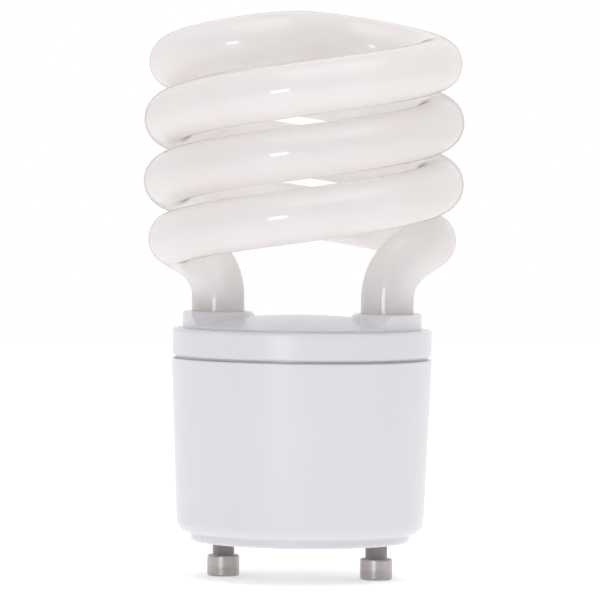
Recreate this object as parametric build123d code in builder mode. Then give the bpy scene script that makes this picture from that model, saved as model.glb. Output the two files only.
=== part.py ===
"""
Compact fluorescent bulb with a double-spiral tube and a two-pin twist-lock base.

Units are millimetres. The lamp axis is Z and points out of the glass. The origin
is the centre of the face that seats on the socket, and X runs through both pins.
"""
import math
import os

from build123d import *

os.makedirs("parts", exist_ok=True)

# Glass tube, bent into two strands that meet in an S-shaped bridge at the top
tube_radius = 4.05
coil_radius = 20.6
coil_pitch = 19.0
coil_start_angle = 212
coil_end_angle = 714
coil_start_rise = 9.5
leg_edge_distance = 5.2
leg_end_gap = 4.0
leg_top_rise = 2.2
shoulder_leg_pull = 7.8
shoulder_coil_pull = 7.7
bridge_rise = 4.2
bridge_heading = 256
bridge_coil_pull = 8.8
bridge_middle_pull = 13.7
seal_edge_radius = 1.2
exhaust_tip_radius = 1.2
exhaust_tip_length = 2.2

# Base housing, a tapered cup with a raised seating disc below it
seat_margin = 0.15
seat_height = 1.3
seat_edge_radius = 0.5
housing_bottom_radius = 19.05
housing_flare = 1.05
housing_rim_height = 28.2
housing_corner_radius = 2.0
housing_rim_edge_radius = 0.2
housing_wall = 1.5

# Tube cover that closes the housing and holds both legs
cover_groove_height = 0.4
cover_groove_depth = 0.8
cover_ring_inset = 0.1
cover_ring_height = 4.2
cover_ring_edge_radius = 0.5
cover_ring_chamfer = 0.25
cover_wall = 1.5
deck_ledge_width = 1.55
deck_step = 0.4
deck_edge_radius = 0.15
dome_rise = 1.7
plateau_rise = 2.1
plateau_arc_radius = 10.5
plateau_depth = 10.2
plateau_slope = 45
plateau_edge_radius = 0.3
sleeve_grip = 2.4
sleeve_wall = 1.3
leg_hole_clearance = 0.25
spigot_clearance = 0.2
spigot_wall = 1.2
snap_count = 4
snap_width = 6.0
snap_height = 1.2
snap_reach = 0.5
snap_drop = 3.4
snap_clearance = 0.2

# Cement rings that hold the glass under the sleeves
cement_height = 1.4
cement_wall = 1.6
cement_glass_clearance = 0.05

# Contact pins, standard spacing for this base
pin_spacing = 24.0
pin_head_radius = 2.5
pin_head_height = 3.3
pin_head_chamfer = 0.35
pin_neck_radius = 1.7
pin_neck_height = 2.4
pin_collar_radius = 2.3
pin_collar_height = 0.8
pin_tag_radius = 0.9
pin_tag_height = 1.4
pin_hole_clearance = 0.05
boss_wall = 1.6
boss_height = 4.2

# Circuit board and its seat in the housing
board_clearance = 0.68
board_thickness = 1.6
board_drop = 8.2
board_hole_clearance = 0.1
rib_count = 3
rib_first_angle = 52
rib_width = 1.4
rib_ledge = 1.3
lead_radius = 0.3
lead_stub = 0.8

# Choke: two E-shaped cores, a bobbin and its winding
choke_x = 0.6
choke_y = 7.8
choke_standoff = 0.8
core_width = 13.0
core_half_height = 6.0
core_depth = 6.0
core_back = 1.7
core_middle_leg = 3.2
core_side_leg = 1.7
bobbin_wall = 0.7
bobbin_clearance = 0.15
bobbin_flange = 0.8
bobbin_depth = 10.6
bobbin_rail_width = 1.6
winding_gap = 0.1
winding_step = 0.4
winding_corner_radius = 1.6
terminal_pitch = 5.0

# Ring transformer that drives the transistors
toroid_x = -10.6
toroid_y = 5.4
toroid_radius = 3.5
toroid_bore = 1.9
toroid_height = 3.2
toroid_standoff = 1.4
toroid_winding = 0.45
toroid_winding_angle = 62
toroid_winding_count = 3
toroid_first_angle = 20
toroid_lead_radius = 2.7
toroid_lead_shares = (0.2, 0.8)
toroid_gap = 0.1

# Electrolytic capacitor
can_x = 0.0
can_y = -10.2
can_radius = 5.0
can_floor_gap = 2.7
can_groove_offset = 2.2
can_groove_radius = 0.45
can_edge_radius = 0.6
can_pitch = 5.0
can_standoff = 0.4

# Film and disc capacitors: place, width, depth, height, lead pitch
resonant_capacitor_place = (-9.6, -6.2)
resonant_capacitor_size = (8.0, 4.2, 7.5)
coupling_capacitor_place = (9.7, -6.1)
coupling_capacitor_size = (7.2, 4.0, 6.5)
starter_capacitor_gap = 0.8
starter_capacitor_size = (4.6, 2.0, 4.4)
capacitor_pitch = 5.0
starter_capacitor_pitch = 2.5
capacitor_edge_radius = 0.9

# Transistors in D-shaped plastic cases
transistor_a_place = (10.7, 8.6)
transistor_b_place = (13.2, 3.4)
transistor_radius = 2.3
transistor_flat = 1.3
transistor_height = 4.6
transistor_standoff = 2.6
transistor_pitch = 1.27

# Parts that stand on end: body radius, body length, lead spread
diode_places = [(-5.4, -2.0), (-1.8, -2.0), (1.8, -2.0), (5.4, -2.0)]
diode_size = (1.35, 5.2, 2.2)
resistor_places = [(-9.2, -1.3), (-14.6, -1.6), (9.2, -1.3), (14.6, -2.4)]
resistor_size = (1.15, 6.3, 1.9)
diac_place = (-7.4, 0.9)
diac_size = (0.9, 3.8, 1.5)
fuse_place = (7.6, -11.6)
fuse_size = (1.6, 8.0, 2.4)
standing_standoff = 1.0

# Filter inductor wound on a drum
drum_x = -7.55
drum_y = -11.0
drum_radius = 2.2
drum_height = 7.0
drum_flange = 1.1
drum_waist_radius = 1.1
drum_winding_radius = 1.9
drum_standoff = 0.8
drum_pitch = 3.0

# Posts on the glass side of the board, and the wires to them
post_places = [(-8.2, 8.2), (-8.2, -8.2), (8.2, 8.2), (8.2, -8.2)]
post_side = 0.8
filament_wire_radius = 0.25
filament_wire_offset = 2.0
filament_wire_drop = 0.55
filament_wire_bend = 0.45
wrap_radius = 1.1
wrap_height = 1.5
supply_wire_radius = 0.6

# Heights and radii that follow from the sizes above
seat_radius = housing_bottom_radius - housing_corner_radius - seat_margin
housing_floor_height = housing_wall
housing_ledge_height = seat_height + housing_wall
housing_rim_radius = housing_bottom_radius + housing_flare
taper = housing_flare / (housing_rim_height - seat_height)
pin_x = pin_spacing / 2
boss_top = housing_floor_height + boss_height
tag_top = boss_top + pin_collar_height + pin_tag_height
board_height = housing_rim_height - board_drop
board_top = board_height + board_thickness
cover_ring_bottom = housing_rim_height + cover_groove_height
cover_ring_top = cover_ring_bottom + cover_ring_height
cover_ring_radius = housing_rim_radius - cover_ring_inset
deck_radius = cover_ring_radius - deck_ledge_width
deck_rim_height = cover_ring_top + deck_step
plateau_height = deck_rim_height + plateau_rise
plateau_center = deck_radius - plateau_depth + plateau_arc_radius
snap_center_height = housing_rim_height - snap_drop
leg_offset = deck_radius - leg_edge_distance
leg_end_height = board_top + leg_end_gap
leg_top_height = plateau_height + leg_top_rise
leg_hole_radius = tube_radius + leg_hole_clearance
sleeve_radius = leg_hole_radius + sleeve_wall
sleeve_bottom_height = leg_end_height + sleeve_grip
coil_start_height = leg_top_height + coil_start_rise
coil_rise = coil_pitch * (coil_end_angle - coil_start_angle) / 360
bridge_height = coil_start_height + coil_rise + bridge_rise
filament_wire_height = leg_end_height - filament_wire_drop
wrap_bottom = filament_wire_height - wrap_height / 2
size_tolerance = 0.01
board_lead_holes = []


def housing_inner_radius(height):
    """Radius of the cup's tapered inner wall at a height."""
    return housing_bottom_radius + taper * (height - seat_height) - housing_wall


def dome_radius(radius):
    """Radius of the sphere through the deck's crown and a circle dome_rise below it."""
    return (radius ** 2 + dome_rise ** 2) / (2 * dome_rise)


board_radius = housing_inner_radius(board_height) - board_clearance
spigot_radius = housing_inner_radius(board_top) - spigot_clearance
spigot_bore = spigot_radius - spigot_wall
rib_inner_radius = board_radius - rib_ledge
rib_outer_radius = housing_inner_radius(housing_ledge_height) + housing_wall / 2
choke_top = board_height - choke_standoff
choke_middle = choke_top - core_half_height
bobbin_half_height = core_half_height - core_back - bobbin_clearance
winding_half_height = bobbin_half_height - bobbin_flange - winding_gap


def finish(builder, name):
    """Label a finished piece and write it to its own file."""
    builder.part.label = name
    export_step(builder.part, f"parts/{name}.step")


def heading(angle):
    """Level unit vector at an angle from X, in degrees."""
    return Vector(math.cos(math.radians(angle)), math.sin(math.radians(angle)), 0)


def lead(x, y, bottom):
    """Straight component lead from its body up through the board, with its hole noted."""
    board_lead_holes.append((x, y))
    with Locations((x, y, bottom)):
        Cylinder(lead_radius, board_top + lead_stub - bottom,
                 align=(Align.CENTER, Align.CENTER, Align.MIN))


# Glass spiral: one strand is a leg, a shoulder, the coil and half of the bridge
with BuildLine() as strand:
    coil = Helix(coil_pitch, coil_rise, coil_radius, center=(0, 0, coil_start_height),
                 mode=Mode.PRIVATE).rotate(Axis.Z, coil_start_angle)
    leg = Line((-leg_offset, 0, leg_end_height), (-leg_offset, 0, leg_top_height))
    Bezier(leg @ 1, (leg @ 1) + (leg % 1) * shoulder_leg_pull,
           (coil @ 0) - (coil % 0) * shoulder_coil_pull, coil @ 0)
    add(coil)
    bridge_middle = Vector(0, 0, bridge_height)
    Bezier(coil @ 1, (coil @ 1) + (coil % 1) * bridge_coil_pull,
           bridge_middle - heading(bridge_heading) * bridge_middle_pull, bridge_middle)

with BuildPart() as glass_strand:
    with BuildSketch(Plane(leg @ 0)):
        Circle(tube_radius)
    sweep(path=strand.wires()[0])
    fillet(glass_strand.edges().group_by(Axis.Z)[0], seal_edge_radius)
    with Locations(leg @ 0):
        Cylinder(exhaust_tip_radius, exhaust_tip_length,
                 align=(Align.CENTER, Align.CENTER, Align.MAX))

with BuildPart() as glass_spiral:
    with PolarLocations(0, 2):
        add(glass_strand.part)
finish(glass_spiral, "glass_spiral")

# Base housing: revolved cup, bosses for the pins, ribs under the board, snap pockets
with BuildPart() as base_housing:
    with BuildSketch(Plane.XZ):
        with BuildLine():
            Polyline((0, 0), (seat_radius, 0), (seat_radius, seat_height),
                     (housing_bottom_radius, seat_height), (housing_rim_radius, housing_rim_height),
                     (housing_inner_radius(housing_rim_height), housing_rim_height),
                     (housing_inner_radius(housing_ledge_height), housing_ledge_height),
                     (seat_radius - housing_wall, housing_ledge_height),
                     (seat_radius - housing_wall, housing_floor_height),
                     (0, housing_floor_height), (0, 0))
        make_face()
    revolve(axis=Axis.Z)
    circles = base_housing.edges().filter_by(GeomType.CIRCLE)
    outer_corner = circles.filter_by(
        lambda e: abs(e.radius - housing_bottom_radius) < size_tolerance
        and e.center().Z < seat_height + size_tolerance)
    fillet(outer_corner, housing_corner_radius)
    rim_edges = base_housing.edges().filter_by(GeomType.CIRCLE).group_by(Axis.Z)[-1]
    fillet(rim_edges.sort_by(lambda e: e.radius)[-1], housing_rim_edge_radius)
    seat_edge = base_housing.edges().filter_by(GeomType.CIRCLE).group_by(Axis.Z)[0]
    fillet(seat_edge, seat_edge_radius)
    with Locations((-pin_x, 0, housing_floor_height), (pin_x, 0, housing_floor_height)):
        Cylinder(pin_neck_radius + boss_wall, boss_height,
                 align=(Align.CENTER, Align.CENTER, Align.MIN))
    with Locations((-pin_x, 0, 0), (pin_x, 0, 0)):
        Cylinder(pin_neck_radius + pin_hole_clearance, housing_rim_height, mode=Mode.SUBTRACT)
    with BuildSketch(Plane.XY.offset(housing_ledge_height)):
        with PolarLocations(rib_inner_radius, rib_count, rib_first_angle):
            Rectangle(rib_outer_radius - rib_inner_radius, rib_width, align=(Align.MIN, Align.CENTER))
    extrude(amount=board_height - housing_ledge_height)
    with PolarLocations(spigot_radius, snap_count):
        with Locations((0, 0, snap_center_height)):
            Box(2 * (snap_reach + snap_clearance), snap_width + 2 * snap_clearance,
                snap_height + 2 * snap_clearance, mode=Mode.SUBTRACT)
finish(base_housing, "base_housing")

# Tube cover: revolved ring, domed deck and spigot, two lens-shaped plateaus, leg sleeves
dome_crown_height = deck_rim_height + dome_rise
dome_inner_rim = deck_rim_height - cover_wall
plateau_block = plateau_height - cover_ring_top
with BuildPart() as tube_cover:
    with BuildSketch(Plane.XZ):
        with BuildLine():
            dome = RadiusArc((0, dome_crown_height), (deck_radius, deck_rim_height),
                             dome_radius(deck_radius))
            Polyline(dome @ 1, (deck_radius, cover_ring_top), (cover_ring_radius, cover_ring_top),
                     (cover_ring_radius, cover_ring_bottom),
                     (cover_ring_radius - cover_groove_depth, cover_ring_bottom),
                     (cover_ring_radius - cover_groove_depth, housing_rim_height),
                     (spigot_radius, housing_rim_height), (spigot_radius, board_top),
                     (spigot_bore, board_top), (spigot_bore, dome_inner_rim))
            RadiusArc((spigot_bore, dome_inner_rim), (0, dome_crown_height - cover_wall),
                      -dome_radius(spigot_bore))
            Line((0, dome_crown_height - cover_wall), (0, dome_crown_height))
        make_face()
    revolve(axis=Axis.Z)
    circles = tube_cover.edges().filter_by(GeomType.CIRCLE)
    ring_edges = circles.filter_by(
        lambda e: abs(e.radius - cover_ring_radius) < size_tolerance).sort_by(Axis.Z)
    deck_edge = circles.filter_by(
        lambda e: abs(e.radius - deck_radius) < size_tolerance).sort_by(Axis.Z)[-1]
    fillet(ring_edges[-1], cover_ring_edge_radius)
    chamfer(ring_edges[0], cover_ring_chamfer)
    fillet(deck_edge, deck_edge_radius)
    with BuildPart(mode=Mode.PRIVATE) as plateaus:
        with Locations((0, 0, cover_ring_top)):
            Cylinder(deck_radius, plateau_block, align=(Align.CENTER, Align.CENTER, Align.MIN))
        with Locations((-plateau_center, 0, cover_ring_top), (plateau_center, 0, cover_ring_top)):
            Cone(plateau_arc_radius + plateau_block * math.tan(math.radians(plateau_slope)),
                 plateau_arc_radius, plateau_block, align=(Align.CENTER, Align.CENTER, Align.MIN),
                 mode=Mode.INTERSECT)
    add(plateaus.part)
    fillet(tube_cover.faces().sort_by(Axis.Z)[-2:].edges(), plateau_edge_radius)
    with BuildSketch(Plane.XY.offset(sleeve_bottom_height)):
        with Locations((-leg_offset, 0), (leg_offset, 0)):
            Circle(sleeve_radius)
        Circle(spigot_radius, mode=Mode.INTERSECT)
    extrude(amount=deck_rim_height - sleeve_bottom_height)
    with Locations((-leg_offset, 0, board_top), (leg_offset, 0, board_top)):
        Cylinder(leg_hole_radius, plateau_height - board_top,
                 align=(Align.CENTER, Align.CENTER, Align.MIN), mode=Mode.SUBTRACT)
    with PolarLocations(spigot_radius, snap_count):
        with Locations((0, 0, snap_center_height)):
            Box(2 * snap_reach, snap_width, snap_height)
finish(tube_cover, "tube_cover")

# Cement rings: they close the gap round each leg under its sleeve, inside the spigot
for side, name in ((-1, "tube_cement_left"), (1, "tube_cement_right")):
    with BuildPart() as tube_cement:
        with BuildSketch(Plane.XY.offset(sleeve_bottom_height)):
            with Locations((side * leg_offset, 0)):
                Circle(tube_radius + cement_wall)
            Circle(spigot_bore - cement_glass_clearance, mode=Mode.INTERSECT)
            with Locations((side * leg_offset, 0)):
                Circle(tube_radius + cement_glass_clearance, mode=Mode.SUBTRACT)
        extrude(amount=-cement_height)
    finish(tube_cement, name)

# Contact pins: turned head and neck below the seat, shank and collar in the boss, solder tag
for side, name in ((-1, "contact_pin_left"), (1, "contact_pin_right")):
    with BuildPart() as contact_pin:
        with Locations((side * pin_x, 0, -pin_neck_height)):
            Cylinder(pin_head_radius, pin_head_height, align=(Align.CENTER, Align.CENTER, Align.MAX))
        chamfer(contact_pin.edges().filter_by(GeomType.CIRCLE), pin_head_chamfer)
        with Locations((side * pin_x, 0, -pin_neck_height)):
            Cylinder(pin_neck_radius, pin_neck_height + boss_top,
                     align=(Align.CENTER, Align.CENTER, Align.MIN))
        with Locations((side * pin_x, 0, boss_top)):
            Cylinder(pin_collar_radius, pin_collar_height,
                     align=(Align.CENTER, Align.CENTER, Align.MIN))
        with Locations((side * pin_x, 0, boss_top + pin_collar_height)):
            Cylinder(pin_tag_radius, pin_tag_height, align=(Align.CENTER, Align.CENTER, Align.MIN))
    finish(contact_pin, name)

# Choke: E-shaped ferrite halves that meet in the middle of the bobbin
for side, name in ((1, "choke_core_upper"), (-1, "choke_core_lower")):
    with BuildPart() as choke_core:
        with BuildSketch(Plane.XZ.offset(-choke_y)):
            with Locations((choke_x, choke_middle + side * core_half_height / 2)):
                Rectangle(core_width, core_half_height)
            window = (core_width - core_middle_leg) / 2 - core_side_leg
            window_x = (core_middle_leg + window) / 2
            window_z = choke_middle + side * (core_half_height - core_back) / 2
            with Locations((choke_x - window_x, window_z), (choke_x + window_x, window_z)):
                Rectangle(window, core_half_height - core_back, mode=Mode.SUBTRACT)
        extrude(amount=core_depth / 2, both=True)
    finish(choke_core, name)

# Bobbin: square tube round the middle leg, two flanges, two rails up to the board
bobbin_bore_width = core_middle_leg + 2 * bobbin_clearance
bobbin_bore_depth = core_depth + 2 * bobbin_clearance
bobbin_width = core_width - 2 * core_side_leg - 2 * bobbin_clearance
rail_y = (bobbin_depth - bobbin_rail_width) / 2
rail_bottom = choke_middle + bobbin_half_height - bobbin_flange
with BuildPart() as choke_bobbin:
    with Locations((choke_x, choke_y, choke_middle)):
        Box(bobbin_bore_width + 2 * bobbin_wall, bobbin_bore_depth + 2 * bobbin_wall,
            2 * bobbin_half_height)
    flange_middle = bobbin_half_height - bobbin_flange / 2
    with Locations((choke_x, choke_y, choke_middle - flange_middle),
                   (choke_x, choke_y, choke_middle + flange_middle)):
        Box(bobbin_width, bobbin_depth, bobbin_flange)
    with Locations((choke_x, choke_y - rail_y, rail_bottom), (choke_x, choke_y + rail_y, rail_bottom)):
        Box(bobbin_width, bobbin_rail_width, board_height - rail_bottom,
            align=(Align.CENTER, Align.CENTER, Align.MIN))
    with Locations((choke_x, choke_y, choke_middle)):
        Box(bobbin_bore_width, bobbin_bore_depth, 2 * core_half_height, mode=Mode.SUBTRACT)
finish(choke_bobbin, "choke_bobbin")

# Winding: rounded block of wire between the flanges
with BuildPart() as choke_winding:
    with BuildSketch(Plane.XY.offset(choke_middle - winding_half_height)):
        with Locations((choke_x, choke_y)):
            RectangleRounded(bobbin_width - 2 * winding_gap, bobbin_depth - 2 * winding_step,
                             winding_corner_radius)
            Rectangle(bobbin_bore_width + 2 * bobbin_wall + 2 * winding_gap,
                      bobbin_bore_depth + 2 * bobbin_wall + 2 * winding_gap, mode=Mode.SUBTRACT)
    extrude(amount=2 * winding_half_height)
finish(choke_winding, "choke_winding")

# Choke terminals: four square pins from the rails through the board
with BuildPart() as choke_terminals:
    for x in (-terminal_pitch / 2, terminal_pitch / 2):
        for y in (-rail_y, rail_y):
            board_lead_holes.append((choke_x + x, choke_y + y))
            with Locations((choke_x + x, choke_y + y, board_height)):
                Cylinder(lead_radius, board_thickness + lead_stub,
                         align=(Align.CENTER, Align.CENTER, Align.MIN))
finish(choke_terminals, "choke_terminals")

# Drive toroid: ferrite ring with three short windings, each a sleeve with two leads
toroid_middle = board_height - toroid_standoff - toroid_height / 2
with BuildPart() as drive_toroid:
    with Locations((toroid_x, toroid_y, toroid_middle)):
        Cylinder(toroid_radius, toroid_height)
        Cylinder(toroid_bore, toroid_height, mode=Mode.SUBTRACT)
    chamfer(drive_toroid.edges().filter_by(GeomType.CIRCLE), toroid_winding / 2)
finish(drive_toroid, "drive_toroid")

with BuildPart() as drive_windings:
    with BuildSketch(Plane.XZ.offset(-toroid_y)):
        with Locations((toroid_x + (toroid_radius + toroid_bore) / 2, toroid_middle)):
            section_width = toroid_radius - toroid_bore
            Rectangle(section_width + 2 * toroid_winding, toroid_height + 2 * toroid_winding)
            Rectangle(section_width + toroid_gap, toroid_height + toroid_gap, mode=Mode.SUBTRACT)
    toroid_axis = Axis((toroid_x, toroid_y, 0), (0, 0, 1))
    winding_sleeve = revolve(axis=toroid_axis, revolution_arc=toroid_winding_angle, mode=Mode.PRIVATE)
    for index in range(toroid_winding_count):
        start = toroid_first_angle + index * 360 / toroid_winding_count
        add(winding_sleeve.rotate(toroid_axis, start))
        for share in toroid_lead_shares:
            place = heading(start + share * toroid_winding_angle) * toroid_lead_radius
            lead(toroid_x + place.X, toroid_y + place.Y, board_height - toroid_standoff)
finish(drive_windings, "drive_windings")

# Electrolytic capacitor: a rolled can hanging under the board, with two leads
can_top = board_height - can_standoff
can_length = can_top - can_floor_gap - housing_floor_height
with BuildPart() as bulk_capacitor:
    with Locations((can_x, can_y, can_top)):
        Cylinder(can_radius, can_length, align=(Align.CENTER, Align.CENTER, Align.MAX))
    fillet(bulk_capacitor.edges().filter_by(GeomType.CIRCLE), can_edge_radius)
    with Locations((can_x, can_y, can_top - can_groove_offset)):
        Torus(can_radius, can_groove_radius, mode=Mode.SUBTRACT)
    for side in (-1, 1):
        lead(can_x + side * can_pitch / 2, can_y, can_top)
finish(bulk_capacitor, "bulk_capacitor")


def box_capacitor(place, size, pitch, name):
    """Dipped film or disc capacitor: a round-cornered block on two leads."""
    x, y = place
    width, depth, height = size
    top = board_height - standing_standoff
    with BuildPart() as capacitor:
        with Locations((x, y, top)):
            Box(width, depth, height, align=(Align.CENTER, Align.CENTER, Align.MAX))
        fillet(capacitor.edges().filter_by(Axis.Z), capacitor_edge_radius)
        fillet(capacitor.faces().sort_by(Axis.Z)[0].edges(), capacitor_edge_radius / 2)
        for side in (-1, 1):
            lead(x + side * pitch / 2, y, top)
    finish(capacitor, name)


starter_capacitor_place = (
    choke_x, choke_y + bobbin_depth / 2 + starter_capacitor_gap + starter_capacitor_size[1] / 2)
box_capacitor(resonant_capacitor_place, resonant_capacitor_size, capacitor_pitch, "resonant_capacitor")
box_capacitor(coupling_capacitor_place, coupling_capacitor_size, capacitor_pitch, "coupling_capacitor")
box_capacitor(starter_capacitor_place, starter_capacitor_size, starter_capacitor_pitch,
              "starter_capacitor")

# Transistors: D-shaped cases with three leads in a row
for place, name in ((transistor_a_place, "transistor_a"), (transistor_b_place, "transistor_b")):
    with BuildPart() as transistor:
        case_top = board_height - transistor_standoff
        with BuildSketch(Plane.XY.offset(case_top)):
            with Locations(place):
                Circle(transistor_radius)
            with Locations((place[0], place[1] - transistor_flat)):
                Rectangle(2 * transistor_radius, transistor_radius + transistor_flat,
                          align=(Align.CENTER, Align.MIN), mode=Mode.INTERSECT)
        extrude(amount=-transistor_height)
        for side in (-1, 0, 1):
            lead(place[0] + side * transistor_pitch, place[1], case_top)
    finish(transistor, name)


def standing_parts(places, size, name):
    """Axial parts on end: a barrel, a straight lead up and a lead that doubles back beside it."""
    radius, length, spread = size
    top = board_height - standing_standoff
    with BuildPart() as parts:
        for x, y in places:
            with Locations((x, y, top)):
                Cylinder(radius, length, align=(Align.CENTER, Align.CENTER, Align.MAX))
            lead(x, y, top)
            bottom = top - length
            with BuildLine() as hairpin:
                start = Line((x, y, bottom), (x, y, bottom - lead_radius))
                ThreePointArc(start @ 1, (x, y + spread / 2, bottom - lead_radius - spread / 2),
                              (x, y + spread, bottom - lead_radius))
            with BuildSketch(Plane(start @ 0, z_dir=start % 0)):
                Circle(lead_radius)
            sweep(path=hairpin.wires()[0])
            lead(x, y + spread, bottom - lead_radius)
    finish(parts, name)


standing_parts(diode_places, diode_size, "rectifier_diodes")
standing_parts(resistor_places, resistor_size, "resistors")
standing_parts([diac_place], diac_size, "trigger_diac")
standing_parts([fuse_place], fuse_size, "fusible_resistor")

# Filter inductor: ferrite drum with its winding and two leads
drum_top = board_height - drum_standoff
with BuildPart() as filter_core:
    with Locations((drum_x, drum_y, drum_top)):
        Cylinder(drum_waist_radius, drum_height, align=(Align.CENTER, Align.CENTER, Align.MAX))
        Cylinder(drum_radius, drum_flange, align=(Align.CENTER, Align.CENTER, Align.MAX))
    with Locations((drum_x, drum_y, drum_top - drum_height)):
        Cylinder(drum_radius, drum_flange, align=(Align.CENTER, Align.CENTER, Align.MIN))
    for side in (-1, 1):
        lead(drum_x + side * drum_pitch / 2, drum_y, drum_top)
finish(filter_core, "filter_core")

with BuildPart() as filter_winding:
    with Locations((drum_x, drum_y, drum_top - drum_height / 2)):
        Cylinder(drum_winding_radius, drum_height - 2 * drum_flange - 2 * winding_gap)
        Cylinder(drum_waist_radius + winding_gap, drum_height, mode=Mode.SUBTRACT)
finish(filter_winding, "filter_winding")

# Wrap posts: square pins through the board, bare ends up beside the legs
with BuildPart() as wrap_posts:
    for x, y in post_places:
        with Locations((x, y, board_height - lead_stub)):
            Box(post_side, post_side, wrap_bottom + wrap_height - board_height + lead_stub,
                align=(Align.CENTER, Align.CENTER, Align.MIN))
finish(wrap_posts, "wrap_posts")

# Circuit board: a round blank drilled for every lead, post and supply wire
with BuildPart() as circuit_board:
    with BuildSketch(Plane.XY.offset(board_height)):
        Circle(board_radius)
        with Locations(*board_lead_holes):
            Circle(lead_radius + board_hole_clearance, mode=Mode.SUBTRACT)
        with Locations(*post_places):
            Rectangle(post_side + board_hole_clearance, post_side + board_hole_clearance,
                      mode=Mode.SUBTRACT)
        with Locations((-pin_x, 0), (pin_x, 0)):
            Circle(supply_wire_radius + board_hole_clearance, mode=Mode.SUBTRACT)
    extrude(amount=board_thickness)
finish(circuit_board, "circuit_board")

# Supply leads: straight up from the pins' solder tags through the board
with BuildPart() as supply_leads:
    with Locations((-pin_x, 0, tag_top), (pin_x, 0, tag_top)):
        Cylinder(supply_wire_radius, board_top + lead_stub - tag_top,
                 align=(Align.CENTER, Align.CENTER, Align.MIN))
finish(supply_leads, "supply_leads")

# Filament leads: two from each leg's sealed end, wrapped on the posts
with BuildPart() as filament_leads:
    for x, y in post_places:
        leg_x = math.copysign(leg_offset, x)
        wire_y = math.copysign(filament_wire_offset, y)
        with Locations((x, y, wrap_bottom)):
            Cylinder(wrap_radius, wrap_height, align=(Align.CENTER, Align.CENTER, Align.MIN))
            Box(post_side + board_hole_clearance, post_side + board_hole_clearance, wrap_height,
                align=(Align.CENTER, Align.CENTER, Align.MIN), mode=Mode.SUBTRACT)
        wrap_side = Vector(leg_x - x, wire_y - y, 0).normalized() * (wrap_radius + post_side) / 2
        with BuildLine() as wire_route:
            FilletPolyline((leg_x, wire_y, leg_end_height),
                           (leg_x, wire_y, filament_wire_height),
                           (x + wrap_side.X, y + wrap_side.Y, filament_wire_height),
                           radius=filament_wire_bend)
        with BuildSketch(Plane((leg_x, wire_y, leg_end_height))):
            Circle(filament_wire_radius)
        sweep(path=wire_route.wires()[0])
finish(filament_leads, "filament_leads")
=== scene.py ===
"""Finish of a compact fluorescent bulb: coated glass coil, moulded base, turned contact pins."""

import math

import bmesh
import bpy
import numpy as np
from bpy.props import FloatProperty, IntProperty, PointerProperty, StringProperty
from mathutils import Matrix, Vector


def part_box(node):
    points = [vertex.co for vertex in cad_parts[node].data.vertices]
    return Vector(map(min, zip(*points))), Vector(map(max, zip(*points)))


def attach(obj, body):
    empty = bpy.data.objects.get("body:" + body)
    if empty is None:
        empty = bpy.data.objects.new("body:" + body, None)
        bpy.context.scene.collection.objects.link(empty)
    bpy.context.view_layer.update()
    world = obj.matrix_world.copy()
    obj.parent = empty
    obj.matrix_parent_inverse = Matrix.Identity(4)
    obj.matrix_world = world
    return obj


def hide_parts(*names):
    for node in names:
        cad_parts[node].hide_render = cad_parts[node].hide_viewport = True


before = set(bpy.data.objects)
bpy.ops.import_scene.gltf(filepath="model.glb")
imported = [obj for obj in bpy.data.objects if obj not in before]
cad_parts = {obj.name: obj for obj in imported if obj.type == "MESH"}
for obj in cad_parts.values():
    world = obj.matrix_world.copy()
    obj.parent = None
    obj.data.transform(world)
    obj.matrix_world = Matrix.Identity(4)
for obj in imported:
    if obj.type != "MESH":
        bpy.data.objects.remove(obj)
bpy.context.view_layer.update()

bl_info = {
    "name": "Spiral Lamp Finish",
    "version": (1, 0, 0),
    "blender": (4, 5, 0),
    "location": "View3D > Sidebar > Lamp",
    "description": "Dresses the bulb's frame with its glass, plastic and plated metal",
    "category": "Object",
}

MM = 0.001
BODY = "root"

# Meshes
STEP = 0.4 * MM
ROUND = 2 * math.pi
QUARTER = math.pi / 2
MERGE_DISTANCE = 1e-7
PIN_COLUMNS = 96
SEAL_ROWS = 9
EDGE_ROWS = 7
HEAD_ROWS = 120

# Blender's wave texture has this many radians of wave for each metre at a scale of 1
WAVE_RADIANS = 20


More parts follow.
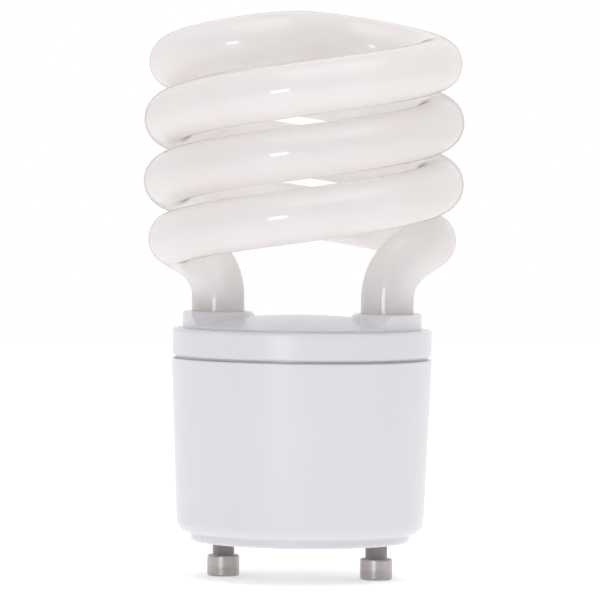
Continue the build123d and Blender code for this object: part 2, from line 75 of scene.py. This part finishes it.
class GlassSettings(bpy.types.PropertyGroup):
    """The bent tube and its coating."""

    tube_radius: FloatProperty(
        name="Tube radius", description="Outer radius of the glass tube",
        default=4.05 * MM, unit="LENGTH")
    coil_radius: FloatProperty(
        name="Coil radius", description="Lamp axis to the tube's centreline",
        default=20.6 * MM, unit="LENGTH")
    coil_pitch: FloatProperty(
        name="Coil pitch", description="Rise of one strand in a full turn",
        default=19.0 * MM, unit="LENGTH")
    coil_start: FloatProperty(
        name="Coil start height", description="Height where a shoulder becomes the coil",
        default=47.0 * MM, unit="LENGTH")
    start_angle: FloatProperty(
        name="Coil start angle", description="Angle from X where the coil starts",
        default=math.radians(212), unit="ROTATION")
    end_angle: FloatProperty(
        name="Coil end angle", description="Angle from X where the coil turns into the bridge",
        default=math.radians(714), unit="ROTATION")
    leg_offset: FloatProperty(
        name="Leg offset", description="Lamp axis to a leg's centre",
        default=13.25 * MM, unit="LENGTH")
    leg_end: FloatProperty(
        name="Leg end height", description="Height of a leg's sealed end",
        default=25.6 * MM, unit="LENGTH")
    leg_top: FloatProperty(
        name="Leg top height", description="Height where a leg starts to bend",
        default=37.5 * MM, unit="LENGTH")
    shoulder_leg_pull: FloatProperty(
        name="Shoulder pull at the leg", description="Curve handle along the leg",
        default=7.8 * MM, unit="LENGTH")
    shoulder_coil_pull: FloatProperty(
        name="Shoulder pull at the coil", description="Curve handle along the coil",
        default=7.7 * MM, unit="LENGTH")
    bridge_height: FloatProperty(
        name="Bridge height", description="Height of the bridge's middle",
        default=77.7 * MM, unit="LENGTH")
    bridge_heading: FloatProperty(
        name="Bridge heading", description="Direction of the bridge where it crosses the axis",
        default=math.radians(248), unit="ROTATION")
    bridge_coil_pull: FloatProperty(
        name="Bridge pull at the coil", description="Curve handle along the coil",
        default=8.8 * MM, unit="LENGTH")
    bridge_middle_pull: FloatProperty(
        name="Bridge pull at the middle", description="Curve handle at the lamp axis",
        default=12.5 * MM, unit="LENGTH")
    seal_edge: FloatProperty(
        name="Seal edge radius", description="Rounding of a leg's sealed end",
        default=1.2 * MM, unit="LENGTH")
    tip_radius: FloatProperty(
        name="Exhaust tip radius", description="Stub of the exhaust tube",
        default=1.2 * MM, unit="LENGTH")
    tip_length: FloatProperty(
        name="Exhaust tip length", description="Stub below the sealed end",
        default=2.2 * MM, unit="LENGTH")
    sides: IntProperty(name="Sides", description="Faces round the tube", default=48)
    coating: StringProperty(
        name="Coating", description="Phosphor seen through the glass", default="#FAF8F7")
    coating_thin: StringProperty(
        name="Thin coating", description="Phosphor where the coat is thinner", default="#F7F4F3")
    # Painted shade: rim is the dark grey that the glass's colour is mixed towards near its silhouette,
    # standing in for the clear wall's grey edge-on look
    rim: StringProperty(name="Glass rim", description="Clear wall seen edge-on", default="#868280")
    clouds: FloatProperty(
        name="Clouds", description="Width of the uneven patches in the coating",
        default=14 * MM, unit="LENGTH")
    # Facing value where that painted edge shade begins
    outline: FloatProperty(
        name="Outline", description="How far the wall turns from the eye before its rim darkens",
        default=0.82)
    glow: FloatProperty(
        name="Glow", description="Share of the light that passes through the coated wall",
        default=0.56)


class BaseSettings(bpy.types.PropertyGroup):
    """The moulded housing and tube cover."""

    plastic: StringProperty(name="Plastic", description="Moulded polyester", default="#D8D8DC")
    plastic_flow: StringProperty(
        name="Flow mark", description="Plastic where the melt flowed unevenly", default="#D6D6DA")
    grain: FloatProperty(
        name="Grain", description="Grain left by the spark-eroded mould",
        default=0.35 * MM, unit="LENGTH")
    flow_size: FloatProperty(
        name="Flow mark size", description="Width of a flow mark", default=22 * MM, unit="LENGTH")


class PinSettings(bpy.types.PropertyGroup):
    """The turned and plated contact pins."""

    head_radius: FloatProperty(
        name="Head radius", description="Radius of the contact head", default=2.5 * MM, unit="LENGTH")
    head_height: FloatProperty(
        name="Head height", description="Height of the contact head", default=3.3 * MM, unit="LENGTH")
    edge: FloatProperty(
        name="Edge", description="Chamfer at both edges of the head", default=0.35 * MM, unit="LENGTH")
    neck_radius: FloatProperty(
        name="Neck radius", description="Radius of the neck under the seat",
        default=1.7 * MM, unit="LENGTH")
    collar_radius: FloatProperty(
        name="Collar radius", description="Collar that clinches the pin inside",
        default=2.3 * MM, unit="LENGTH")
    collar_height: FloatProperty(
        name="Collar height", description="Height of that collar", default=0.8 * MM, unit="LENGTH")
    tag_radius: FloatProperty(
        name="Tag radius", description="Solder tag on top of the pin", default=0.9 * MM, unit="LENGTH")
    tag_height: FloatProperty(
        name="Tag height", description="Height of the solder tag", default=1.4 * MM, unit="LENGTH")
    groove_depth: FloatProperty(
        name="Groove depth", description="Depth of a turning groove on the head",
        default=0.05 * MM, unit="LENGTH")
    groove_pitch: FloatProperty(
        name="Groove pitch", description="Spacing of the turning grooves",
        default=0.32 * MM, unit="LENGTH")
    grooves: FloatProperty(
        name="Grooves", description="Turning grooves above the lower edge, in pitches", default=3.5)
    ring_spacing: FloatProperty(
        name="Ring spacing", description="Fine turning rings in the plating, drawn coarser than real",
        default=1.0053 * MM, unit="LENGTH")
    tarnish: FloatProperty(
        name="Tarnish size", description="Width of a duller spot", default=1.2 * MM, unit="LENGTH")
    nickel: StringProperty(name="Nickel", description="Satin nickel plating", default="#B4AEAC")


class StageSettings(bpy.types.PropertyGroup):
    """Camera, floor and lights."""

    distance: FloatProperty(
        name="Camera distance", description="Camera to the lamp axis", default=750 * MM, unit="LENGTH")
    azimuth: FloatProperty(
        name="Camera azimuth", description="Turn of the camera to the right of the front",
        default=math.radians(10), unit="ROTATION")
    eye_height: FloatProperty(
        name="Eye height", description="Camera above the seating face",
        default=61.2 * MM, unit="LENGTH")
    aim_height: FloatProperty(
        name="Aim height", description="Height on the axis at the picture's middle row",
        default=37.2 * MM, unit="LENGTH")
    aim_aside: FloatProperty(
        name="Aim aside", description="Picture's middle, left of the axis",
        default=0.385 * MM, unit="LENGTH")
    roll: FloatProperty(
        name="Camera roll", description="Lean of the lamp's top to the right in the picture",
        default=math.radians(0.65), unit="ROTATION")
    scale: FloatProperty(
        name="Picture scale", description="Pixels for each metre at the lamp axis", default=6480.0)
    picture: IntProperty(name="Picture side", description="Side of the picture in pixels", default=600)
    lamp_middle: FloatProperty(
        name="Lamp middle", description="Height that the lights face", default=45 * MM, unit="LENGTH")
    floor_radius: FloatProperty(
        name="Floor radius", description="Radius of the round floor", default=0.9, unit="LENGTH")
    floor: StringProperty(name="Floor", description="Matt white table top", default="#FAFAFA")
    floor_clean: StringProperty(
        name="Clean floor", description="Table top where it is brightest", default="#FDFDFD")
    table_light: FloatProperty(
        name="Table light", description="Brightness the table has of its own", default=0.3)
    backdrop: FloatProperty(
        name="Backdrop light", description="Brightness of the room behind the lamp", default=1.18)
    room: FloatProperty(
        name="Room light", description="Brightness of the room behind the camera", default=0.27)
    screen: FloatProperty(
        name="Screen", description="Brightness of the white screen behind the lamp, from any side",
        default=1.0)


def linear(code):
    """A #RRGGBB colour of the sRGB screen as linear red, green, blue and alpha."""
    parts = [int(code[i:i + 2], 16) / 255 for i in (1, 3, 5)]
    return tuple(c / 12.92 if c <= 0.04045 else ((c + 0.055) / 1.055) ** 2.4 for c in parts) + (1.0,)


def node(tree, kind, inputs=None, **settings):
    """Adds a shader node; inputs gives each socket a value or the output socket that feeds it."""
    made = tree.nodes.new(kind)
    for name, value in settings.items():
        setattr(made, name, value)
    for socket, value in (inputs or {}).items():
        if isinstance(value, bpy.types.NodeSocket):
            tree.links.new(value, made.inputs[socket])
        else:
            made.inputs[socket].default_value = value
    return made


def new_material(name):
    """An empty node material, its tree and its Object coordinates."""
    material = bpy.data.materials.new(name)
    material.use_nodes = True
    tree = material.node_tree
    tree.nodes.clear()
    place = node(tree, "ShaderNodeTexCoord").outputs["Object"]
    return material, tree, place


def close_material(tree, shader):
    """Sends a shader to the material's surface."""
    node(tree, "ShaderNodeOutputMaterial", {"Surface": shader})


def two_tones(tree, place, size, low, high):
    """Cloudy blend of two colours whose patches are about size across."""
    cloud = node(tree, "ShaderNodeTexNoise", {"Vector": place, "Scale": 1 / size, "Detail": 3.0})
    ramp = node(tree, "ShaderNodeValToRGB", {"Fac": cloud.outputs["Fac"]})
    for stop, position, colour in zip(ramp.color_ramp.elements, (0.35, 0.65), (low, high)):
        stop.position = position
        stop.color = linear(colour)
    return ramp.outputs["Color"]


def coated_glass(settings):
    """Drawn soda-lime glass, coated inside with phosphor.

    The eye sees a milk-white tube with some light of its own in the gaps and sharp streaks of light on
    the hard clear wall. The thin grey edge where that wall is seen edge-on is painted shade: the
    coating's colour is mixed towards a dark grey as the surface turns away from the eye.
    """
    material, tree, place = new_material("phosphor_coated_glass")
    coat = two_tones(tree, place, settings.clouds, settings.coating_thin, settings.coating)
    # Painted shade: Layer Weight facing mixes the coating's colour towards the rim grey as the surface
    # turns from the eye, drawing a dark edge round the tube in both the wall and the glow
    facing_for_painted_shade = node(tree, "ShaderNodeLayerWeight", {"Blend": 0.5})
    rim = node(tree, "ShaderNodeMapRange", {"Value": facing_for_painted_shade.outputs["Facing"],
                                            "From Min": settings.outline, "From Max": 1.0})
    coat_with_painted_rim_shade = node(tree, "ShaderNodeMix", {
        "Factor": rim.outputs["Result"], 6: coat, 7: linear(settings.rim)}, data_type="RGBA")
    wall = node(tree, "ShaderNodeBsdfPrincipled", {
        "Base Color": coat_with_painted_rim_shade.outputs[2], "Roughness": 0.6, "IOR": 1.5, "Specular IOR Level": 0.2,
        "Coat Weight": 1.0, "Coat Roughness": 0.035, "Coat IOR": 1.8})
    glow = node(tree, "ShaderNodeBsdfTranslucent", {"Color": coat_with_painted_rim_shade.outputs[2]})
    shader = node(tree, "ShaderNodeMixShader", {0: settings.glow, 1: wall.outputs["BSDF"],
                                                2: glow.outputs["BSDF"]})
    close_material(tree, shader.outputs["Shader"])
    return material


def moulded_polyester(settings):
    """Injection-moulded polyester from a spark-eroded mould.

    The eye sees cool, even white with a broad satin sheen that a fine grain breaks up.
    """
    material, tree, place = new_material("moulded_polyester")
    colour = two_tones(tree, place, settings.flow_size, settings.plastic_flow, settings.plastic)
    rub = node(tree, "ShaderNodeTexNoise", {"Vector": place, "Scale": 1 / settings.grain, "Detail": 2.0})
    gloss = node(tree, "ShaderNodeMapRange", {
        "Value": rub.outputs["Fac"], "To Min": 0.285, "To Max": 0.315})
    shader = node(tree, "ShaderNodeBsdfPrincipled", {
        "Base Color": colour, "Roughness": gloss.outputs["Result"], "IOR": 1.55})
    close_material(tree, shader.outputs["BSDF"])
    return material


def plated_nickel(settings):
    """Turned brass under satin nickel.

    The eye sees warm grey metal whose reflections fine turning rings spread up and down the pin.
    """
    material, tree, place = new_material("satin_nickel_plate")
    rings = node(tree, "ShaderNodeTexWave", {
        "Vector": place, "Scale": ROUND / (WAVE_RADIANS * settings.ring_spacing), "Distortion": 0.6,
        "Detail": 2.0}, bands_direction="Z", wave_profile="SAW")
    bump = node(tree, "ShaderNodeBump", {"Height": rings.outputs["Fac"], "Distance": 0.006 * MM,
                                         "Strength": 0.5})
    spots = node(tree, "ShaderNodeTexNoise", {
        "Vector": place, "Scale": 1 / settings.tarnish, "Detail": 3.0})
    gloss = node(tree, "ShaderNodeMapRange", {
        "Value": spots.outputs["Fac"], "To Min": 0.285, "To Max": 0.37})
    shader = node(tree, "ShaderNodeBsdfPrincipled", {
        "Base Color": linear(settings.nickel), "Metallic": 1.0, "Roughness": gloss.outputs["Result"],
        "Normal": bump.outputs["Normal"]})
    close_material(tree, shader.outputs["BSDF"])
    return material


def inner_finish(name, low, high, size, roughness, metallic=0.0):
    """Finish of a part inside the base: two close tones in patches, a finer grain and one gloss."""
    material, tree, place = new_material(name)
    grain = node(tree, "ShaderNodeTexNoise", {"Vector": place, "Scale": 3 / size, "Detail": 2.0})
    bump = node(tree, "ShaderNodeBump", {"Height": grain.outputs["Fac"], "Distance": size / 40,
                                         "Strength": 0.35})
    shader = node(tree, "ShaderNodeBsdfPrincipled", {
        "Base Color": two_tones(tree, place, size, low, high), "Roughness": roughness,
        "Metallic": metallic, "Normal": bump.outputs["Normal"]})
    close_material(tree, shader.outputs["BSDF"])
    return material


def grid_object(name, points, material):
    """Closed object from a grid of points: rows run along the piece, columns go round it.

    Row ends that meet in one point become poles, because points that coincide are merged.
    """
    rows, columns = points.shape[:2]
    mesh = bpy.data.meshes.new(name)
    row, column = np.meshgrid(np.arange(rows - 1), np.arange(columns), indexing="ij")
    beside = (column + 1) % columns
    faces = np.stack([row * columns + column, row * columns + beside,
                      (row + 1) * columns + beside, (row + 1) * columns + column], axis=-1)
    mesh.from_pydata(points.reshape(-1, 3).tolist(), [], faces.reshape(-1, 4).tolist())
    merged = bmesh.new()
    merged.from_mesh(mesh)
    bmesh.ops.remove_doubles(merged, verts=merged.verts, dist=MERGE_DISTANCE)
    bmesh.ops.recalc_face_normals(merged, faces=merged.faces)
    merged.to_mesh(mesh)
    merged.free()
    mesh.shade_smooth()
    mesh.materials.append(material)
    piece = bpy.data.objects.new(name, mesh)
    bpy.context.scene.collection.objects.link(piece)
    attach(piece, BODY)
    return piece


def bezier(start, start_pull, end_pull, end, count):
    """Points of a cubic curve: the four control points weighted by the Bernstein polynomials."""
    t = np.linspace(0, 1, count)[:, None]
    return ((1 - t) ** 3 * start + 3 * (1 - t) ** 2 * t * start_pull
            + 3 * (1 - t) * t ** 2 * end_pull + t ** 3 * end)


def strand_points(s):
    """Centreline of one strand from the leg's end to the lamp axis, its points about one STEP apart.

    A vertical line, a cubic shoulder, the helix (R cos a, R sin a, h + P (a - a0) / 2 pi) and a
    cubic half bridge. Each cubic leaves and arrives along its neighbours' tangents.
    """
    slope = s.coil_pitch / ROUND

    def on_coil(a):
        return np.stack([s.coil_radius * np.cos(a), s.coil_radius * np.sin(a),
                         s.coil_start + slope * (a - s.start_angle)], axis=-1)

    def along_coil(a):
        way = np.array([-s.coil_radius * math.sin(a), s.coil_radius * math.cos(a), slope])
        return way / np.linalg.norm(way)

    shoulder_length, half_bridge_length = 0.018, 0.032
    foot = np.array([-s.leg_offset, 0, s.leg_end])
    top = np.array([-s.leg_offset, 0, s.leg_top])
    up = np.array([0, 0, 1.0])
    coil_start, coil_end = on_coil(s.start_angle), on_coil(s.end_angle)
    middle = np.array([0, 0, s.bridge_height])
    way = np.array([math.cos(s.bridge_heading), math.sin(s.bridge_heading), 0])
    leg = foot + np.linspace(0, 1, int((s.leg_top - s.leg_end) / STEP))[:, None] * (top - foot)
    shoulder = bezier(top, top + up * s.shoulder_leg_pull,
                      coil_start - along_coil(s.start_angle) * s.shoulder_coil_pull, coil_start,
                      int(shoulder_length / STEP))
    turns = on_coil(np.linspace(s.start_angle, s.end_angle,
                                int(s.coil_radius * (s.end_angle - s.start_angle) / STEP)))
    bridge = bezier(coil_end, coil_end + along_coil(s.end_angle) * s.bridge_coil_pull,
                    middle - way * s.bridge_middle_pull, middle, int(half_bridge_length / STEP))
    return np.concatenate([leg, shoulder[1:], turns[1:], bridge[1:]])


def tube_surface(s):
    """The whole tube as rings of points: centreline plus radius times a turning pair of normals.

    The reference normal turns from the outward radius at a leg to straight up at the bridge, so it
    never lines up with the tube. The second strand is the first turned half a turn about Z, backwards.
    """
    half = strand_points(s)
    line = np.concatenate([half, (half * [-1, -1, 1])[::-1][1:]])
    way = np.gradient(line, axis=0)
    way /= np.linalg.norm(way, axis=1)[:, None]
    share = np.linspace(0, 1, len(half))
    turn_starts, turn_lasts = 0.15, 0.6
    turn = QUARTER * np.clip((share - turn_starts) / turn_lasts, 0, 1)
    turn = np.concatenate([turn, turn[::-1][1:]])[:, None]
    outward = line * [1, 1, 0]
    outward /= np.maximum(np.linalg.norm(outward, axis=1), 1e-9)[:, None]
    first = np.cos(turn) * outward + np.sin(turn) * np.array([0, 0, 1.0])
    first -= np.sum(first * way, axis=1)[:, None] * way
    first /= np.linalg.norm(first, axis=1)[:, None]
    second = np.cross(way, first)
    around = np.linspace(0, ROUND, s.sides, endpoint=False)[None, :, None]
    rings = line[:, None, :] + s.tube_radius * (np.cos(around) * first[:, None, :]
                                                + np.sin(around) * second[:, None, :])
    # Rows of a leg's closed end, from the middle of the exhaust tip out to the tube's wall
    swing = np.linspace(0, QUARTER, SEAL_ROWS)
    seal_r = np.concatenate([[0, s.tip_radius * 0.7, s.tip_radius, s.tip_radius],
                             s.tube_radius - s.seal_edge + s.seal_edge * np.sin(swing)])
    seal_z = np.concatenate([[-s.tip_length, -s.tip_length, -s.tip_length * 0.8, 0],
                             s.seal_edge - s.seal_edge * np.cos(swing)])
    end = rings[0] - line[0]
    cap = line[0] + seal_r[:, None, None] / s.tube_radius * end + seal_z[:, None, None] * way[0]
    other = cap * [-1, -1, 1]
    keep = np.nonzero(line[:, 2] > s.leg_end + s.seal_edge)[0]
    far_cap = np.roll(other[::-1][:, ::-1], 1, axis=1)
    return np.concatenate([cap, rings[keep[0]:keep[-1] + 1], lined_up(far_cap, rings[keep[-1]])])


def lined_up(cap, ring):
    """Turns the columns of a cap's rings so that they line up with the ring they close."""
    gaps = [np.linalg.norm(np.roll(cap[0], shift, axis=0)[:, :2] - ring[:, :2], axis=1).sum()
            for shift in range(cap.shape[1])]
    return np.roll(cap, int(np.argmin(gaps)), axis=1)


def turned(radii, heights, centre):
    """Surface of revolution: a profile of radii and heights turned about a vertical line."""
    around = np.linspace(0, ROUND, PIN_COLUMNS, endpoint=False)
    x = centre[0] + radii[:, None] * np.cos(around)
    y = centre[1] + radii[:, None] * np.sin(around)
    z = np.broadcast_to(heights[:, None], x.shape)
    return np.stack([x, y, z], axis=-1)


def pin_profile(s, bottom, top):
    """Radii and heights of a contact pin, from the head's centre up to the solder tag's.

    The lower part of the head has turning grooves, each a raised cosine to the eighth power.
    """
    swing = np.linspace(0, QUARTER, EDGE_ROWS)
    low_r = s.head_radius - s.edge + s.edge * np.sin(swing)
    low_z = bottom + s.edge - s.edge * np.cos(swing)
    wall_z = np.linspace(bottom + s.edge, bottom + s.head_height - s.edge, HEAD_ROWS)
    above = wall_z - bottom - s.edge
    grooved = np.where(above < s.grooves * s.groove_pitch, 1.0, 0.0)
    cut = np.maximum(0, np.cos(ROUND * above / s.groove_pitch)) ** 8
    wall_r = s.head_radius - s.groove_depth * cut * grooved
    high_r = s.head_radius - s.edge + s.edge * np.cos(swing)
    high_z = bottom + s.head_height - s.edge + s.edge * np.sin(swing)
    collar_top = top - s.tag_height
    collar_bottom = collar_top - s.collar_height
    radii = np.concatenate([[0], low_r, wall_r[1:-1], high_r,
                            [s.neck_radius, s.neck_radius, s.collar_radius, s.collar_radius,
                             s.tag_radius, s.tag_radius, 0]])
    heights = np.concatenate([[bottom], low_z, wall_z[1:-1], high_z,
                              [bottom + s.head_height, collar_bottom, collar_bottom, collar_top,
                               collar_top, top, top]])
    return radii, heights


class LAMP_OT_glass(bpy.types.Operator):
    """Bends the coated glass tube"""

    bl_idname = "lamp.glass"
    bl_label = "Glass Coil"

    def execute(self, context):
        settings = context.scene.lamp_glass
        tube = grid_object("coated_tube", tube_surface(settings), coated_glass(settings))
        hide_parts("glass_spiral")
        return {"FINISHED"}


class LAMP_OT_base(bpy.types.Operator):
    """Gives the housing and the tube cover their moulded finish"""

    bl_idname = "lamp.base"
    bl_label = "Moulded Base"

    def execute(self, context):
        plastic = moulded_polyester(context.scene.lamp_base)
        for name in ("base_housing", "tube_cover"):
            dress(name, plastic)
        return {"FINISHED"}


class LAMP_OT_pins(bpy.types.Operator):
    """Turns the two contact pins"""

    bl_idname = "lamp.pins"
    bl_label = "Contact Pins"

    def execute(self, context):
        settings = context.scene.lamp_pins
        nickel = plated_nickel(settings)
        for side in ("left", "right"):
            low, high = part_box(f"contact_pin_{side}")
            centre = (low + high) / 2
            surface = turned(*pin_profile(settings, low.z, high.z), centre)
            pin = grid_object(f"turned_pin_{side}", surface, nickel)
            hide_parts(f"contact_pin_{side}")
        return {"FINISHED"}


class LAMP_OT_ballast(bpy.types.Operator):
    """Finishes the ballast and the wiring inside the base"""

    bl_idname = "lamp.ballast"
    bl_label = "Ballast"

    def execute(self, context):
        finishes = {
            # Brown laminate: the eye sees a dull, slightly fibrous board.
            inner_finish("phenolic_paper_laminate", "#8A5B22", "#A8793A", 2.0 * MM, 0.55): [
                "circuit_board"],
            # Fired iron oxide: nearly black, with a dry matt skin.
            inner_finish("sintered_ferrite", "#1B1B1E", "#2C2C30", 0.5 * MM, 0.6): [
                "choke_core_upper", "choke_core_lower", "drive_toroid", "filter_core"],
            # Red-brown metal under clear enamel: warm lines of light along the turns.
            inner_finish("enamelled_copper", "#8E3F16", "#B4612A", 0.8 * MM, 0.3, 1.0): [
                "choke_winding", "drive_windings", "filter_winding"],
            # Natural nylon: waxy ivory with a soft sheen.
            inner_finish("moulded_nylon", "#D6CDB0", "#E2DBC4", 1.5 * MM, 0.5): ["choke_bobbin"],
            # Plain sleeve shrunk on the can: glossy blue-black with long reflections.
            inner_finish("shrunk_sleeve_film", "#12121A", "#1C1C26", 2.5 * MM, 0.25): ["bulk_capacitor"],
            # Dipped epoxy: a thick red-brown skin, wet-looking and rounded.
            inner_finish("dipped_epoxy_coat", "#6E1A0C", "#83261A", 1.0 * MM, 0.2): [
                "resonant_capacitor", "coupling_capacitor", "starter_capacitor"],
            # Filled moulding epoxy: black bodies with an even, half-matt face.
            inner_finish("moulded_black_epoxy", "#0E0E0E", "#191919", 0.4 * MM, 0.5): [
                "transistor_a", "transistor_b", "rectifier_diodes"],
            # Baked lacquer: tan bodies with a soft gloss.
            inner_finish("resistor_lacquer_coat", "#B49A6A", "#C6AE82", 0.6 * MM, 0.35): [
                "resistors", "fusible_resistor"],
            # Small orange glass bead: the glossiest part of the board.
            inner_finish("orange_diode_glass", "#7A3A1E", "#96502E", 0.5 * MM, 0.15): ["trigger_diac"],
            # Tin over copper: pale grey wires with blurred reflections.
            inner_finish("tinned_copper", "#A8A8A4", "#BCBCB8", 0.5 * MM, 0.3, 1.0): [
                "wrap_posts", "filament_leads", "choke_terminals"],
            # White wire insulation: smooth and slightly shiny.
            inner_finish("vinyl_wire_insulation", "#CFCFCF", "#DEDEDE", 0.8 * MM, 0.4): ["supply_leads"],
            # Cured white cement round the tube ends: chalky, with no shine.
            inner_finish("cured_silicone_cement", "#D8D8D0", "#E4E4DE", 0.6 * MM, 0.6): [
                "tube_cement_left", "tube_cement_right"],
        }
        for material, names in finishes.items():
            for name in names:
                dress(name, material)
        return {"FINISHED"}


def dress(name, material):
    """Gives a CAD node its finish."""
    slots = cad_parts[name].data.materials
    slots.clear()
    slots.append(material)


class LAMP_OT_stage(bpy.types.Operator):
    """Sets the camera, the floor and the studio lights"""

    bl_idname = "lamp.stage"
    bl_label = "Stage"

    def execute(self, context):
        stage = context.scene.lamp_stage
        toward = Vector((math.sin(stage.azimuth), -math.cos(stage.azimuth), 0))
        right = Vector((math.cos(stage.azimuth), math.sin(stage.azimuth), 0))
        set_camera(stage, toward, right)
        set_floor(stage)
        set_lights(stage, toward, right)
        return {"FINISHED"}


def set_camera(stage, toward, right):
    """Camera a little above the deck, aimed a little down, its lens set by the picture's scale."""
    lens = bpy.data.cameras.new("camera")
    lens.lens = lens.sensor_width * stage.scale * stage.distance / stage.picture
    lens.clip_start = 0.05
    lens.clip_end = 50
    camera = bpy.data.objects.new("camera", lens)
    bpy.context.scene.collection.objects.link(camera)
    eye = toward * stage.distance + Vector((0, 0, stage.eye_height))
    aim = Vector((0, 0, stage.aim_height)) - right * stage.aim_aside
    turn = (aim - eye).to_track_quat("-Z", "Y").to_matrix().to_4x4()
    camera.matrix_world = Matrix.Translation(eye) @ turn @ Matrix.Rotation(stage.roll, 4, "Z")
    bpy.context.scene.camera = camera


def set_floor(stage):
    """Round white table under the pins, faintly lit from below as a product table is."""
    material, tree, place = new_material("white_table_top")
    colour = two_tones(tree, place, 200 * MM, stage.floor, stage.floor_clean)
    shader = node(tree, "ShaderNodeBsdfPrincipled", {
        "Base Color": colour, "Roughness": 0.9, "Specular IOR Level": 0.1,
        "Emission Color": linear(stage.floor), "Emission Strength": stage.table_light})
    close_material(tree, shader.outputs["BSDF"])
    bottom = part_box("contact_pin_left")[0].z
    mesh = bpy.data.meshes.new("floor")
    around = np.linspace(0, ROUND, 128, endpoint=False)
    rim = np.stack([np.cos(around), np.sin(around), np.zeros(len(around))], axis=-1) * stage.floor_radius
    mesh.from_pydata((rim + [0, 0, bottom]).tolist(), [], [list(range(len(around)))])
    mesh.materials.append(material)
    floor = bpy.data.objects.new("floor", mesh)
    bpy.context.scene.collection.objects.link(floor)


def soft_light(name, place, target, size, watts, colour):
    """Softbox at a place, facing a target."""
    data = bpy.data.lights.new(name, "AREA")
    data.shape = "RECTANGLE"
    data.size, data.size_y = size
    data.energy = watts
    data.color = linear(colour)[:3]
    light = bpy.data.objects.new(name, data)
    bpy.context.scene.collection.objects.link(light)
    light.location = place
    light.rotation_mode = "QUATERNION"
    light.rotation_quaternion = (target - place).to_track_quat("-Z", "Y")


def set_lights(stage, toward, right):
    """A wide softbox overhead, a small one beside the camera and a white room.

    The room is brighter behind the lamp than behind the camera. A white screen hides it from the eye.
    """
    up = Vector((0, 0, 1))
    target = up * stage.lamp_middle
    soft_light("overhead_softbox", toward * 0.35 + right * 0.10 + up * 0.95, target,
               (1.0, 1.0), 4.4, "#FFFFFF")
    soft_light("front_softbox", toward * 0.85 - right * 0.27 + up * 0.06, target,
               (0.22, 0.23), 1.25, "#F0F0FF")
    world = bpy.data.worlds.new("white_room")
    world.use_nodes = True
    tree = world.node_tree
    tree.nodes.clear()
    way = node(tree, "ShaderNodeTexCoord").outputs["Generated"]
    away = node(tree, "ShaderNodeVectorMath", {0: way, 1: -toward}, operation="DOT_PRODUCT")
    strength = node(tree, "ShaderNodeMapRange", {"Value": away.outputs["Value"], "From Min": -1.0,
                                                 "To Min": stage.room, "To Max": stage.backdrop})
    ray = node(tree, "ShaderNodeLightPath")
    seen = node(tree, "ShaderNodeMapRange", {
        "Value": ray.outputs["Is Camera Ray"], "To Min": strength.outputs["Result"],
        "To Max": stage.screen})
    light = node(tree, "ShaderNodeBackground", {"Color": linear("#FFFFFF"),
                                                "Strength": seen.outputs["Result"]})
    node(tree, "ShaderNodeOutputWorld", {"Surface": light.outputs["Background"]})
    scene = bpy.context.scene
    scene.world = world
    scene.view_settings.view_transform = "Standard"


class LAMP_PT_panel(bpy.types.Panel):
    """Lists the pieces of the lamp"""

    bl_idname = "LAMP_PT_panel"
    bl_label = "Spiral Lamp"
    bl_space_type = "VIEW_3D"
    bl_region_type = "UI"
    bl_category = "Lamp"

    def draw(self, context):
        for operator in OPERATORS:
            self.layout.operator(operator.bl_idname)


SETTINGS = {"lamp_glass": GlassSettings, "lamp_base": BaseSettings, "lamp_pins": PinSettings,
            "lamp_stage": StageSettings}
OPERATORS = (LAMP_OT_glass, LAMP_OT_base, LAMP_OT_pins, LAMP_OT_ballast, LAMP_OT_stage)
CLASSES = tuple(SETTINGS.values()) + OPERATORS + (LAMP_PT_panel,)


def register():
    for cls in CLASSES:
        bpy.utils.register_class(cls)
    for name, group in SETTINGS.items():
        setattr(bpy.types.Scene, name, PointerProperty(type=group))


def unregister():
    for name in SETTINGS:
        delattr(bpy.types.Scene, name)
    for cls in reversed(CLASSES):
        bpy.utils.unregister_class(cls)


def main():
    register()
    bpy.ops.lamp.glass()
    bpy.ops.lamp.base()
    bpy.ops.lamp.pins()
    bpy.ops.lamp.ballast()
    bpy.ops.lamp.stage()
    bpy.context.view_layer.update()


if __name__ == "__main__":
    main()
